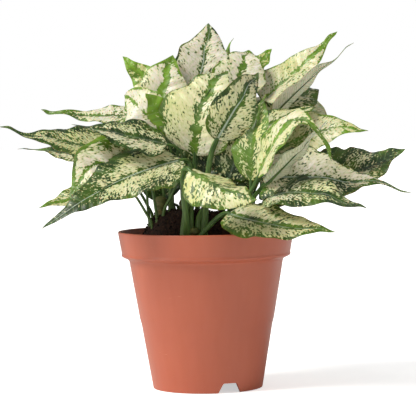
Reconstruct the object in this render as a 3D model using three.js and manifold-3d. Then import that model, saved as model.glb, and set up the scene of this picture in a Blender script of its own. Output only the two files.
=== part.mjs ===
// A potted chinese evergreen: a clump of six short canes with broad pointed leaves,
// planted in dark potting mix in a round plastic nursery pot.
// Millimetres, +Z up. The origin is on the pot's axis at the foot, so the pot stands on z = 0.
import * as THREE from "three";
import { mergeVertices } from "three/addons/utils/BufferGeometryUtils.js";
import Module from "manifold-3d";

const wasm = await Module();
wasm.setup();

// ---------------------------------------------------------------- driving sizes
const POT_HEIGHT = 134;
const RIM_RADIUS = 75; // outside, at the very top
const FOOT_RADIUS = 46.7; // outside, at the floor
const WALL = 1.7;
const COLLAR_HEIGHT = 20.5;
const COLLAR_TAPER = 2.8; // how much narrower the collar is at its lower edge
const COLLAR_STEP = 6.2; // how far the collar stands out from the body
const STEP_HEIGHT = 57; // the small stacking step on the body
const STEP_DEPTH = 0.7;
const FLOOR_RAISE = 9; // the pot's floor above the table
const NOTCH_COUNT = 3;
const NOTCH_FOOT = 20; // the drainage notches in the foot ring
const NOTCH_TOP = 12;
const NOTCH_HEIGHT = 8.2;
const NOTCH_HEADING = -67; // degrees round from +X
const DRAIN_COUNT = 6;
const DRAIN_RADIUS = 4;
const DRAIN_CIRCLE = 30;
const POT_SIDES = 48;

const FIT = 0.3; // clearance wherever two pieces meet
const SOIL_SHOULDER = 8; // the mix at the wall lies this far under the rim
const MOUND_RISE = 15; // the root ball stands this far above the rim
const MOUND_X = 4; // middle of the root ball
const MOUND_Y = 5;
const MOUND_LONG = 58; // its half length, left to right
const MOUND_SHORT = 47; // its half depth, front to back
const CROWN_RADIUS = 70; // the mix's radius that the mound and the canes are laid out for

const CANE_RADIUS = 5.2;
const CANE_STUMP = 12; // how much of a cane shows above the mix
const CANE_DEPTH = 26; // how deep it is planted
const STALK_RADIUS = 2; // a leaf stalk where it meets the blade
const STALK_FOOT = 2.5; // and where it leaves the cane
const MIDRIB = 1.3; // the blade's thickness at the midrib
const FOLD = 0.34; // how steeply the halves of a blade rise from the midrib
const CUP = 0.26; // how much they round over again towards the margins
const LEAF_WIDTH = 1; // all the blades together, wider or narrower
const LEAF_REACH = 1; // and how far they reach from the crown

// ---------------------------------------------------------------- the clump, by hand
// Where each cane stands, from the pot's axis.
const CANES = {
  front: [-10, -43],
  left: [-38, -6],
  right: [30, -38],
  far_right: [48, -2],
  rear_left: [-18, 33],
  rear_right: [24, 34],
};

// One leaf a line. base, middle and tip are points on the midrib, measured from the middle of the
// rim's plane; face is the way the upper surface looks; point is how far the tip is drawn out.
const LEAVES = [
  { name: "leaf_low_left", cane: "front", base: [-18, -34, 61], middle: [-68, -64, 46],
    tip: [-133, -86, 8], width: 66, face: [-1, -6, 8], point: 1.7 },
  { name: "leaf_front_fold", cane: "front", base: [-12, -88, 54], middle: [11, -114, 41],
    tip: [41, -136, 31], width: 40, face: [-1, -6, 8], fold: -0.3 },
  { name: "leaf_centre_broad", cane: "front", base: [-8, -22, 64], middle: [-2, -36, 106],
    tip: [21, -6, 135], width: 70, face: [-4, -10, 2] },
  { name: "leaf_centre_silver", cane: "front", base: [10, -46, 77], middle: [30, -60, 110],
    tip: [46, -34, 133], width: 38, face: [4, -9, 3] },
  { name: "leaf_over_rim", cane: "front", base: [19, -58, 17], middle: [50, -98, 10],
    tip: [103, -122, 4], width: 42, face: [0, -7, 7] },
  { name: "leaf_right_upright", cane: "right", base: [38, -56, 43], middle: [40, -60, 80],
    tip: [52, -38, 115], width: 36, face: [-6, -8, 2] },
  { name: "leaf_right_arch", cane: "right", base: [43, -76, 47], middle: [82, -92, 93],
    tip: [101, -104, 60], width: 40, face: [-4, -6, 8], point: 2.5 },
  { name: "leaf_right_pale", cane: "right", base: [46, -84, 42], middle: [68, -97, 66],
    tip: [94, -93, 92], width: 23, face: [-4, 5, 6], point: 1.4 },
  { name: "leaf_right_cream", cane: "right", base: [46, -44, 44], middle: [104, -70, 45],
    tip: [169, -70, 32], width: 60, face: [0, -8, 6], point: 2 },
  { name: "leaf_right_low", cane: "right", base: [52, -60, 30], middle: [88, -94, 34],
    tip: [129, -104, 22], width: 44, face: [0, -6, 8] },
  { name: "leaf_right_far", cane: "far_right", base: [72, 2, 48], middle: [128, -12, 50],
    tip: [170, -12, 67], width: 56, face: [0, -7, 7], point: 0.8 },
  { name: "leaf_right_point", cane: "far_right", base: [53, -15, 58], middle: [96, -28, 83],
    tip: [137, -34, 83], width: 48, face: [0, -8, 6], point: 1.3 },
  { name: "leaf_horn_pale", cane: "far_right", base: [57, -6, 96], middle: [88, 0, 125],
    tip: [129, 12, 158], width: 26, face: [-5, 5, 6], point: 1.9 },
  { name: "leaf_right_edge", cane: "far_right", base: [41, -28, 80], middle: [68, -22, 95],
    tip: [100, -8, 104], width: 34, face: [-3, -5, 8] },
  { name: "leaf_left_round", cane: "left", base: [-50, -24, 46], middle: [-86, -46, 60],
    tip: [-112, -58, 32], width: 50, face: [-2, -9, 3] },
  { name: "leaf_shoulder_tip", cane: "left", base: [-28, -20, 92], middle: [-38, -23, 104],
    tip: [-49, -25, 117], width: 24, face: [0, -10, 2] },
  { name: "leaf_left_dark", cane: "left", base: [-31, -34, 74], middle: [-69, -42, 83],
    tip: [-110, -44, 92], width: 44, face: [0, -6, 8], point: 1.4 },
  { name: "leaf_left_far", cane: "left", base: [-62, -5, 66], middle: [-112, -16, 76],
    tip: [-173, -20, 91], width: 52, face: [0, -6, 8], point: 1.9 },
  { name: "leaf_left_pale", cane: "left", base: [-79, -6, 44], middle: [-109, -26, 31],
    tip: [-139, -38, 23], width: 30, face: [0, -6, 8] },
  { name: "leaf_left_thin", cane: "left", base: [-79, 8, 56], middle: [-123, 20, 68],
    tip: [-162, 30, 71], width: 30, face: [0, -5, 8], point: 1.6 },
  { name: "leaf_top", cane: "rear_left", base: [-9, 22, 113], middle: [0, 26, 144],
    tip: [5, 46, 178], width: 50, face: [0, -10, 1], point: 1.1 },
  { name: "leaf_shoulder_round", cane: "left", base: [-34, -6, 82], middle: [-54, -4, 105],
    tip: [-68, 16, 116], width: 46, face: [-4, -9, 4] },
  { name: "leaf_peak", cane: "left", base: [-39, 6, 92], middle: [-35, 8, 122],
    tip: [-26, 20, 150], width: 50, face: [-2, -10, 3] },
  { name: "leaf_top_round", cane: "rear_right", base: [26, 15, 112], middle: [32, 22, 136],
    tip: [40, 46, 154], width: 46, face: [0, -10, 3] },
  { name: "leaf_horn", cane: "rear_right", base: [50, 18, 110], middle: [80, 28, 135],
    tip: [117, 44, 169], width: 48, face: [-4, -7, 6], point: 1.9 },
  { name: "leaf_horn_behind", cane: "rear_right", base: [57, 20, 92], middle: [80, 30, 112],
    tip: [101, 56, 119], width: 42, face: [-3, -9, 4] },
  { name: "leaf_left_wisp", cane: "rear_left", base: [-57, 35, 100], middle: [-100, 52, 99],
    tip: [-144, 66, 105], width: 32, face: [0, -5, 8], point: 2.1 },
  { name: "leaf_spike", cane: "rear_left", base: [-36, 26, 110], middle: [-52, 32, 131],
    tip: [-70, 40, 150], width: 26, face: [-2, -9, 3], point: 1.2 },
  { name: "leaf_top_sliver", cane: "rear_right", base: [8, 36, 118], middle: [16, 44, 142],
    tip: [27, 56, 165], width: 22, face: [-7, -6, 1] },
  { name: "leaf_top_lime", cane: "rear_right", base: [32, 32, 124], middle: [44, 40, 138],
    tip: [60, 52, 155], width: 22, face: [-5, -8, 2] },
  { name: "leaf_inner_a", cane: "front", base: [20, -28, 44], middle: [28, -34, 68],
    tip: [36, -26, 92], width: 36, face: [-3, -9, 2] },
  { name: "leaf_inner_e", cane: "rear_left", base: [-2, -14, 42], middle: [0, -18, 60],
    tip: [6, -8, 84], width: 36, face: [1, -9, 3] },
  { name: "leaf_inner_f", cane: "right", base: [24, -24, 26], middle: [26, -28, 48],
    tip: [30, -20, 70], width: 32, face: [-1, -9, 3] },
  { name: "leaf_inner_b", cane: "far_right", base: [44, -10, 30], middle: [64, -24, 36],
    tip: [86, -36, 34], width: 30, face: [-1, -8, 6] },
  { name: "leaf_inner_c", cane: "left", base: [-34, -2, 62], middle: [-44, 0, 82],
    tip: [-52, 8, 100], width: 38, face: [-3, -8, 4] },
  { name: "leaf_inner_d", cane: "rear_left", base: [-22, 4, 44], middle: [-22, 8, 66],
    tip: [-16, 14, 86], width: 34, face: [-1, -9, 3] },
  { name: "leaf_inner_g", cane: "rear_left", base: [-30, 6, 22], middle: [-30, 10, 40],
    tip: [-24, 18, 62], width: 36, face: [-1, -9, 3] },
  { name: "leaf_inner_h", cane: "rear_left", base: [-6, 8, 24], middle: [-4, 10, 42],
    tip: [4, 16, 66], width: 34, face: [0, -9, 3] },
  { name: "leaf_inner_i", cane: "rear_right", base: [26, 8, 20], middle: [32, 6, 38],
    tip: [42, 12, 58], width: 34, face: [0, -9, 3] },
  { name: "leaf_back_right", cane: "rear_right", base: [58, 28, 52], middle: [98, 50, 58],
    tip: [140, 72, 36], width: 58, face: [3, 2, 9] },
  { name: "leaf_back_half_right", cane: "rear_right", base: [38, 52, 52], middle: [62, 86, 56],
    tip: [88, 118, 34], width: 60, face: [3, 5, 8] },
  { name: "leaf_back_middle", cane: "rear_right", base: [8, 50, 60], middle: [16, 92, 62],
    tip: [24, 140, 46], width: 58, face: [0, 5, 8] },
  { name: "leaf_back_half_left", cane: "rear_left", base: [-20, 52, 58], middle: [-32, 90, 62],
    tip: [-44, 126, 48], width: 60, face: [-1, 5, 8] },
  { name: "leaf_back_left", cane: "rear_left", base: [-42, 48, 50], middle: [-70, 80, 54],
    tip: [-100, 108, 32], width: 58, face: [-4, 4, 8] },
  { name: "leaf_back_far_left", cane: "left", base: [-56, 22, 66], middle: [-90, 45, 76],
    tip: [-135, 70, 84], width: 50, face: [-2, 1, 9] },
  { name: "leaf_high_right", cane: "rear_right", base: [48, 30, 84], middle: [80, 52, 102],
    tip: [112, 74, 90], width: 52, face: [2, 3, 8] },
  { name: "leaf_high_half_right", cane: "rear_right", base: [24, 46, 96], middle: [42, 80, 110],
    tip: [58, 110, 98], width: 54, face: [1, 4, 8] },
  { name: "leaf_high_back", cane: "rear_left", base: [-2, 46, 104], middle: [-6, 78, 120],
    tip: [-10, 110, 110], width: 52, face: [0, 4, 8] },
  { name: "leaf_high_half_left", cane: "rear_left", base: [-24, 44, 98], middle: [-44, 72, 108],
    tip: [-62, 100, 96], width: 52, face: [-2, 4, 8] },
  { name: "leaf_high_left", cane: "rear_left", base: [-42, 34, 80], middle: [-66, 62, 88],
    tip: [-92, 88, 74], width: 48, face: [-3, 3, 8] },
  { name: "leaf_high_upright", cane: "rear_right", base: [10, 48, 112], middle: [14, 66, 130],
    tip: [18, 90, 136], width: 40, face: [0, -3, 8] },
];

// ---------------------------------------------------------------- small helpers
const clamp = (x, low, high) => Math.min(high, Math.max(low, x));
const smooth = (x) => x * x * (3 - 2 * x);
const degrees = Math.PI / 180;

function material(colour, roughness) {
  return new THREE.MeshStandardMaterial({ color: colour, roughness, metalness: 0 });
}

function solidOf(geometry) {
  const bare = geometry.index ? geometry.toNonIndexed() : geometry.clone();
  bare.deleteAttribute("normal");
  bare.deleteAttribute("uv");
  const merged = mergeVertices(bare, 1e-4);
  return new wasm.Manifold(new wasm.Mesh({
    numProp: 3,
    vertProperties: merged.attributes.position.array,
    triVerts: new Uint32Array(merged.index.array),
  }));
}

function geometryOf(solid) {
  const mesh = solid.getMesh();
  const geometry = new THREE.BufferGeometry();
  geometry.setAttribute("position", new THREE.BufferAttribute(mesh.vertProperties, 3));
  geometry.setIndex(new THREE.BufferAttribute(mesh.triVerts, 1));
  return geometry;
}

function touch(a, b) {
  return a.intersect(b).getMesh().triVerts.length > 0;
}

// ---------------------------------------------------------------- pot
const collarFoot = POT_HEIGHT - COLLAR_HEIGHT;
const bodyTop = collarFoot - 3.5;
const bodyTopRadius = RIM_RADIUS - COLLAR_TAPER - COLLAR_STEP - 0.2;
const slope = (bodyTopRadius - STEP_DEPTH - FOOT_RADIUS) / bodyTop;

// Outside radius of the body under the collar.
function bodyRadius(z) {
  return FOOT_RADIUS + slope * z + (z > STEP_HEIGHT ? STEP_DEPTH : 0);
}

function potGeometry() {
  const inner = (z) => bodyRadius(z) - WALL;
  const collarIn = RIM_RADIUS - COLLAR_TAPER - WALL;
  const outline = [
    [0, FLOOR_RAISE],
    [inner(0) - 1, FLOOR_RAISE],
    [inner(0), FLOOR_RAISE - 1],
    [inner(0), 0],
    [FOOT_RADIUS, 0],
    [bodyRadius(STEP_HEIGHT - 0.4), STEP_HEIGHT - 0.4],
    [bodyRadius(STEP_HEIGHT + 0.4), STEP_HEIGHT + 0.4],
    [bodyRadius(bodyTop), bodyTop],
    [RIM_RADIUS - COLLAR_TAPER - 1.4, collarFoot - 1.2],
    [RIM_RADIUS - COLLAR_TAPER, collarFoot],
    [RIM_RADIUS - COLLAR_TAPER - 0.3, collarFoot + 1.6],
    [RIM_RADIUS, POT_HEIGHT - 0.6],
    [RIM_RADIUS - 0.5, POT_HEIGHT],
    [RIM_RADIUS - WALL, POT_HEIGHT],
    [RIM_RADIUS - WALL - 0.3, POT_HEIGHT - 0.6],
    [collarIn, collarFoot + 2.2],
    [inner(bodyTop), bodyTop + 1.6],
    [inner(STEP_HEIGHT + 1), STEP_HEIGHT + 1],
    [inner(STEP_HEIGHT - 1), STEP_HEIGHT - 1],
    [inner(FLOOR_RAISE + WALL), FLOOR_RAISE + WALL],
    [0, FLOOR_RAISE + WALL],
  ];
  const points = outline.map(([r, z]) => new THREE.Vector2(r, z));
  const shell = new THREE.LatheGeometry(points, POT_SIDES);
  shell.rotateX(Math.PI / 2);
  let solid = solidOf(shell);
  const side = new THREE.Shape();
  side.moveTo(-NOTCH_FOOT / 2, -2);
  side.lineTo(NOTCH_FOOT / 2, -2);
  side.lineTo(NOTCH_FOOT / 2, 0);
  side.lineTo(NOTCH_TOP / 2, NOTCH_HEIGHT);
  side.lineTo(-NOTCH_TOP / 2, NOTCH_HEIGHT);
  side.lineTo(-NOTCH_FOOT / 2, 0);
  for (let i = 0; i < NOTCH_COUNT; i++) {
    const notch = new THREE.ExtrudeGeometry(side, { depth: 12, bevelEnabled: false });
    notch.rotateX(Math.PI / 2);
    notch.rotateZ(Math.PI / 2);
    notch.translate(FOOT_RADIUS - 7, 0, 0);
    notch.rotateZ((NOTCH_HEADING + (i * 360) / NOTCH_COUNT) * degrees);
    solid = solid.subtract(solidOf(notch));
  }
  for (let i = 0; i < DRAIN_COUNT; i++) {
    const drain = new THREE.CylinderGeometry(DRAIN_RADIUS, DRAIN_RADIUS, 3 * WALL, 12);
    drain.rotateX(Math.PI / 2);
    drain.translate(DRAIN_CIRCLE, 0, FLOOR_RAISE + WALL / 2);
    drain.rotateZ((i + 0.5) * (360 / DRAIN_COUNT) * degrees);
    solid = solid.subtract(solidOf(drain));
  }
  return geometryOf(solid);
}

// ---------------------------------------------------------------- potting mix
const soilSide = RIM_RADIUS - COLLAR_TAPER - WALL - FIT - 0.2;
const shoulder = POT_HEIGHT - SOIL_SHOULDER;
const spread = soilSide / CROWN_RADIUS; // the crown draws in or out with the pot

// Height of the mix: a low shoulder at the wall and a steep-sided mound with a lumpy top.
function soilHeight(x, y) {
  const dx = (x / spread - MOUND_X) / MOUND_LONG;
  const dy = (y / spread - MOUND_Y) / MOUND_SHORT;
  const out = clamp((Math.hypot(dx, dy) - 0.78) / 0.3, 0, 1);
  const lean = 3.5 * dx + 2 * dy;
  const top = POT_HEIGHT + MOUND_RISE - lean - 4 * Math.max(0, dx) ** 2;
  const lumps = 0.9 * Math.sin(x * 0.31 + y * 0.12) + 0.8 * Math.sin(y * 0.37 - x * 0.17 + 1.4);
  return shoulder + (top - shoulder) * (1 - smooth(out)) + lumps * (1 - 0.6 * out);
}

function soilGeometry() {
  const sides = 36;
  const rings = [0.13, 0.3, 0.46, 0.6, 0.7, 0.79, 0.88, 1];
  const vertices = [];
  const faces = [];
  const ring = (radius, height) => {
    const first = vertices.length / 3;
    for (let i = 0; i < sides; i++) {
      const x = radius * Math.cos((i * 360 * degrees) / sides);
      const y = radius * Math.sin((i * 360 * degrees) / sides);
      vertices.push(x, y, height(x, y));
    }
    return first;
  };
  const band = (a, b) => {
    for (let i = 0; i < sides; i++) {
      const j = (i + 1) % sides;
      faces.push(a + i, b + i, b + j, a + i, b + j, a + j);
    }
  };
  vertices.push(0, 0, soilHeight(0, 0));
  const starts = rings.map((r) => ring(r * soilSide, soilHeight));
  for (let i = 0; i < sides; i++) {
    faces.push(0, starts[0] + i, starts[0] + ((i + 1) % sides));
  }
  for (let k = 1; k < starts.length; k++) band(starts[k - 1], starts[k]);
  const ledge = ring(soilSide, () => collarFoot + 3.2);
  const under = ring(bodyRadius(bodyTop) - WALL - FIT, () => bodyTop + 2.4);
  const low = FLOOR_RAISE + WALL + FIT;
  const foot = ring(bodyRadius(low) - WALL - FIT, () => low);
  const waist = ring(bodyRadius(STEP_HEIGHT - 2) - WALL - FIT, () => STEP_HEIGHT - 2);
  band(starts[starts.length - 1], ledge);
  band(ledge, under);
  band(under, waist);
  band(waist, foot);
  const centre = vertices.length / 3;
  vertices.push(0, 0, low);
  for (let i = 0; i < sides; i++) faces.push(centre, foot + ((i + 1) % sides), foot + i);
  const geometry = new THREE.BufferGeometry();
  geometry.setAttribute("position", new THREE.Float32BufferAttribute(vertices, 3));
  geometry.setIndex(faces);
  let solid = solidOf(geometry);
  for (const name of Object.keys(CANES)) solid = solid.subtract(solidOf(caneGeometry(name, FIT)));
  return geometryOf(solid);
}

// ---------------------------------------------------------------- canes
const canePlace = (name) => CANES[name].map((along) => along * spread);

function caneGeometry(name, spare) {
  const [x, y] = canePlace(name);
  const ground = soilHeight(x, y);
  const r = CANE_RADIUS + spare;
  const top = ground + CANE_STUMP + spare;
  const outline = [
    [0, ground - CANE_DEPTH - spare],
    [r * 0.8, ground - CANE_DEPTH - spare],
    [r, ground - CANE_DEPTH + 4],
    [r * 1.02, ground],
    [r * 0.94, top - 3],
    [r * 0.6, top],
    [0, top + 0.6],
  ];
  const cane = new THREE.LatheGeometry(outline.map(([a, b]) => new THREE.Vector2(a, b)), 12);
  cane.rotateX(Math.PI / 2);
  cane.translate(x, y, 0);
  return cane;
}

// ---------------------------------------------------------------- leaves
const crown = new THREE.Vector3(0, 0, POT_HEIGHT);
const at = ([x, y, z]) => new THREE.Vector3(x, y, z).multiplyScalar(LEAF_REACH).add(crown);
const BLADE_STATIONS = [0, 0.04, 0.12, 0.24, 0.38, 0.54, 0.7, 0.84, 0.94];
const BLADE_RISE = 0.55; // how fast a blade widens from its base: lower is rounder

// Outline of a blade: half-width from 0 to 1 at t along it, drawn out to a point.
function outlineAt(t, fall) {
  const widest = BLADE_RISE / (BLADE_RISE + fall);
  return (t / widest) ** BLADE_RISE * ((1 - t) / (1 - widest)) ** fall;
}

// The midrib runs through base, middle and tip; its frames turn with it, without spinning.
function bladeFrames(leaf) {
  const { base, middle, tip } = leaf;
  const first = base.distanceTo(middle);
  const t = clamp(first / (first + middle.distanceTo(tip)), 0.35, 0.65);
  const pull = middle.clone().addScaledVector(base, -((1 - t) ** 2)).addScaledVector(tip, -(t * t));
  const bend = pull.divideScalar(2 * t * (1 - t));
  const curve = new THREE.QuadraticBezierCurve3(base, bend, tip);
  const across = new THREE.Vector3().crossVectors(curve.getTangent(t), leaf.face).normalize();
  const plane = new THREE.Vector3().subVectors(bend, base).cross(tip.clone().sub(base));
  if (plane.length() < 1e-3) plane.copy(across);
  plane.normalize();
  const home = curve.getTangent(t);
  return (s) => {
    const along = curve.getTangent(s);
    const turn = new THREE.Quaternion().setFromUnitVectors(home, along);
    const side = across.clone().applyQuaternion(turn);
    const up = new THREE.Vector3().crossVectors(side, along).normalize();
    return { point: curve.getPoint(s), along, side, up };
  };
}

// A ring of six points: under the midrib, right margin, right half, midrib, left half, left margin.
function bladeRing(frame, half, fold, spare) {
  const put = (a, b) => frame.point.clone().addScaledVector(frame.side, a).addScaledVector(frame.up, b);
  const wide = half + spare;
  const height = (q) => half * (fold * q - CUP * q * q) + spare;
  const rise = half * (fold - CUP);
  return [
    put(0, -MIDRIB / 2 - spare), put(wide, rise), put(wide * 0.5, height(0.5) + MIDRIB * 0.3),
    put(0, MIDRIB / 2 + spare), put(-wide * 0.5, height(0.5) + MIDRIB * 0.3), put(-wide, rise),
  ];
}

function stalkRing(frame, radius) {
  const ring = [];
  for (const turn of [-90, -30, 30, 90, 150, 210]) {
    const point = frame.point.clone().addScaledVector(frame.side, radius * Math.cos(turn * degrees));
    ring.push(point.addScaledVector(frame.up, radius * Math.sin(turn * degrees)));
  }
  return ring;
}

// Skin over a row of rings: a flat cap at the start, and a point or a cap at the end.
function skin(rings, point) {
  const vertices = [];
  const faces = [];
  rings.forEach((ring) => ring.forEach((v) => vertices.push(v.x, v.y, v.z)));
  for (let k = 1; k < rings.length; k++) {
    for (let i = 0; i < 6; i++) {
      const a = (k - 1) * 6 + i;
      const b = (k - 1) * 6 + ((i + 1) % 6);
      faces.push(a, b + 6, b, a, a + 6, b + 6);
    }
  }
  for (let i = 1; i < 5; i++) faces.push(0, i, i + 1);
  const last = (rings.length - 1) * 6;
  if (point) {
    vertices.push(point.x, point.y, point.z);
    for (let i = 0; i < 6; i++) faces.push(last + i, last + 6, last + ((i + 1) % 6));
  } else {
    for (let i = 1; i < 5; i++) faces.push(last, last + i + 1, last + i);
  }
  const geometry = new THREE.BufferGeometry();
  geometry.setAttribute("position", new THREE.Float32BufferAttribute(vertices, 3));
  geometry.setIndex(faces);
  return geometry;
}

function bladeRings(leaf, spare) {
  const frameAt = bladeFrames(leaf);
  return BLADE_STATIONS.map((t) => {
    if (t === 0) return stalkRing(frameAt(0), STALK_RADIUS * 0.9 + spare);
    const half = Math.max(STALK_RADIUS, (leaf.width / 2) * outlineAt(t, leaf.point || 1.1));
    return bladeRing(frameAt(t), half, leaf.fold || FOLD, spare);
  });
}

// The stalk climbs from its foot beside the cane and runs into the midrib.
function stalkRings(leaf, spare) {
  const start = bladeFrames(leaf)(0);
  const span = leaf.foot.distanceTo(leaf.base);
  const rise = leaf.base.clone().sub(leaf.foot).multiply(new THREE.Vector3(0.6, 0.6, 1)).normalize();
  const climb = leaf.foot.clone().addScaledVector(rise, span * 0.4).add(leaf.bow);
  const reach = leaf.base.clone().addScaledVector(start.along, -span * 0.3).add(leaf.bow);
  const curve = new THREE.CubicBezierCurve3(leaf.foot, climb, reach, leaf.base);
  const rings = [];
  const count = 6;
  let side = start.side.clone();
  for (let k = count - 1; k >= 0; k--) {
    const s = k / count;
    const along = curve.getTangent(s);
    side = side.clone().addScaledVector(along, -side.dot(along)).normalize();
    const frame = { point: curve.getPoint(s), side, up: new THREE.Vector3().crossVectors(side, along) };
    rings.unshift(stalkRing(frame, STALK_RADIUS + (STALK_FOOT - STALK_RADIUS) * (1 - s) + spare));
  }
  return rings;
}

// ---------------------------------------------------------------- growing the clump
// Each leaf in turn takes its place among those before it. Where it would touch one, its blade
// moves a little nearer or farther, then up, down or sideways, until it hangs clear.
const FOOT_STEP = 0.5;
const FOOT_DROP = 14;
const MOVES = [];
for (let x = -15; x <= 15; x += 3) {
  for (let y = -21; y <= 21; y += 3) {
    for (let z = -15; z <= 15; z += 3) MOVES.push(new THREE.Vector3(x, y, z));
  }
}
const cost = (v) => 1.6 * Math.abs(v.x) + 0.8 * Math.abs(v.y) + 1.3 * Math.abs(v.z) + 0.001 * (v.x + v.y + v.z);
MOVES.sort((a, b) => cost(a) - cost(b));
const BOWS = [new THREE.Vector3()];
for (const size of [5, 10, 16, 24]) {
  for (let i = 0; i < 8; i++) {
    const turn = i * 45 * degrees;
    BOWS.push(new THREE.Vector3(size * Math.cos(turn), size * Math.sin(turn), 0));
  }
}

function boxOf(geometry) {
  geometry.computeBoundingBox();
  return geometry.boundingBox;
}

function clear(geometry, placed) {
  const box = boxOf(geometry);
  const near = placed.filter((other) => other.box.intersectsBox(box));
  if (!near.length) return true;
  const solid = solidOf(geometry);
  return near.every((other) => !touch(solid, other.solid));
}

// A foot comes down, in small steps, until it would touch the mix or its cane.
function planted(leaf, placed) {
  let best = leaf;
  for (let drop = FOOT_STEP; drop <= FOOT_DROP; drop += FOOT_STEP) {
    const foot = leaf.foot.clone().setZ(leaf.foot.z - drop);
    const lower = { ...leaf, foot };
    const stalk = [...stalkRings(lower, FIT), bladeRings(lower, FIT)[0]];
    if (!clear(skin(stalk, null), placed)) break;
    best = { ...lower, foot: foot.clone().setZ(foot.z + FIT) };
  }
  return best;
}

function clumpOf(leaves, fixed) {
  const placed = [...fixed];
  const grown = [];
  for (const row of leaves) {
    let found = null;
    for (const move of MOVES) {
      const leaf = { ...row, bow: new THREE.Vector3() };
      leaf.base = row.base.clone().addScaledVector(move, 0.6);
      leaf.middle = row.middle.clone().add(move);
      leaf.tip = row.tip.clone().addScaledVector(move, 0.8);
      const blade = bladeRings(leaf, FIT);
      if (!clear(skin(blade.slice(0, -1), leaf.tip), placed)) continue;
      for (const bow of BOWS) {
        leaf.bow = bow;
        if (!clear(skin([...stalkRings(leaf, FIT), blade[0]], null), placed)) continue;
        found = leaf;
        break;
      }
      if (found) break;
    }
    const leaf = found ? planted(found, placed) : { ...row, bow: new THREE.Vector3() };
    const geometry = skin([...stalkRings(leaf, 0), ...bladeRings(leaf, 0)], leaf.tip);
    placed.push({ solid: solidOf(geometry), box: boxOf(geometry).clone() });
    grown.push({ leaf, geometry });
  }
  return grown;
}

// The highest mix within a small circle, so that a foot stands clear of a steep side.
function groundUnder(x, y, radius) {
  let high = soilHeight(x, y);
  for (let i = 0; i < 12; i++) {
    const turn = i * 30 * degrees;
    high = Math.max(high, soilHeight(x + radius * Math.cos(turn), y + radius * Math.sin(turn)));
  }
  return high;
}

// Leaf stalks stand in a ring round their cane, in the order in which their blades head off.
function footed(rows) {
  const leaves = rows.map((row) => ({
    ...row,
    base: at(row.base),
    middle: at(row.middle),
    tip: at(row.tip),
    face: new THREE.Vector3(...row.face).normalize(),
    width: row.width * LEAF_WIDTH * LEAF_REACH,
  }));
  for (const name of Object.keys(CANES)) {
    const [x, y] = canePlace(name);
    const own = leaves.filter((leaf) => leaf.cane === name);
    const heading = (leaf) => Math.atan2(leaf.base.y - y, leaf.base.x - x);
    own.sort((a, b) => heading(a) - heading(b));
    const mean = own.reduce((sum, leaf, i) => {
      const off = heading(leaf) - (i * 2 * Math.PI) / own.length;
      return sum.add(new THREE.Vector2(Math.cos(off), Math.sin(off)));
    }, new THREE.Vector2());
    const start = Math.atan2(mean.y, mean.x);
    const radius = Math.max(CANE_RADIUS + STALK_FOOT + 1, (own.length * (2 * STALK_FOOT + 1.2)) / 6.28);
    own.forEach((leaf, i) => {
      const turn = start + (i * 2 * Math.PI) / own.length;
      const fx = x + radius * Math.cos(turn);
      const fy = y + radius * Math.sin(turn);
      leaf.foot = new THREE.Vector3(fx, fy, groundUnder(fx, fy, STALK_FOOT + 2) + 1);
    });
  }
  return leaves;
}

// ---------------------------------------------------------------- the whole plant
const plant = new THREE.Group();
function add(name, geometry, finish) {
  const mesh = new THREE.Mesh(geometry, finish);
  mesh.name = name;
  plant.add(mesh);
  return mesh;
}

const pot = potGeometry();
const soil = soilGeometry();
add("pot", pot, material(0xb8694c, 0.55));
add("potting_mix", soil, material(0x2a1c14, 0.95));
const fixed = [pot, soil].map((g) => ({ solid: solidOf(g), box: boxOf(g).clone() }));
for (const name of Object.keys(CANES)) {
  const cane = caneGeometry(name, 0);
  add("cane_" + name, cane, material(0x5f7a3a, 0.6));
  fixed.push({ solid: solidOf(cane), box: boxOf(cane).clone() });
}
for (const { leaf, geometry } of clumpOf(footed(LEAVES), fixed)) {
  add(leaf.name, geometry, material(0x9fb27a, 0.45));
}

export default plant;
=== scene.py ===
# %% [markdown]
# # A potted chinese evergreen
# The plant is a clump of cream and green leaves in a terracotta-coloured nursery pot. The CAD
# frame holds one closed solid for the pot, the potting mix, six short canes and each leaf with
# its stalk. Here each of them gets a finer piece in the same place, and a finish of its own.

# %% Load the frame
import math
import random

import bmesh
import bpy
import numpy as np
from mathutils import Matrix, Vector, noise
from mathutils.bvhtree import BVHTree


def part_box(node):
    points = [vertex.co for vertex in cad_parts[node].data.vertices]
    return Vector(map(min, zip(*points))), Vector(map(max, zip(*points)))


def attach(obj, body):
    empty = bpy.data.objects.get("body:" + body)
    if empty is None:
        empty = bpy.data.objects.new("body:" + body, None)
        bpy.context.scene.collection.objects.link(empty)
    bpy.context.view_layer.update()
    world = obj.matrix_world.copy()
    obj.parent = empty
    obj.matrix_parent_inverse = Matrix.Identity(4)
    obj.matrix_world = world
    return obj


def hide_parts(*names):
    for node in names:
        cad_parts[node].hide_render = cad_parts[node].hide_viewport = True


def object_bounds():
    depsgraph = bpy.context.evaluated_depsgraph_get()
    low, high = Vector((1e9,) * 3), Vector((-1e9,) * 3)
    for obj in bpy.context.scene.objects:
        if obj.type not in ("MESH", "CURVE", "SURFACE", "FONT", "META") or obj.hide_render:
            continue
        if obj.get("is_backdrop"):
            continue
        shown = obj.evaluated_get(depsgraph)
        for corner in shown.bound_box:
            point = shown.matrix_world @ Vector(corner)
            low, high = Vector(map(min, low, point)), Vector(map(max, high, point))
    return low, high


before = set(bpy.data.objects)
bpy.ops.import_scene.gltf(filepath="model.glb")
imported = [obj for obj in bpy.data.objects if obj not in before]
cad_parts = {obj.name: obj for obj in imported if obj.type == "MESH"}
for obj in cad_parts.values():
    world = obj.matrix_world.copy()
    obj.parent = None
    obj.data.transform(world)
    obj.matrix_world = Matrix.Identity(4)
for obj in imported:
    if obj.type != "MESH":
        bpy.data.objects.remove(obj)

cad_low, cad_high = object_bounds()
MM = 0.001
leaf_nodes = sorted(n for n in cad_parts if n.startswith("leaf_"))
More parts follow.
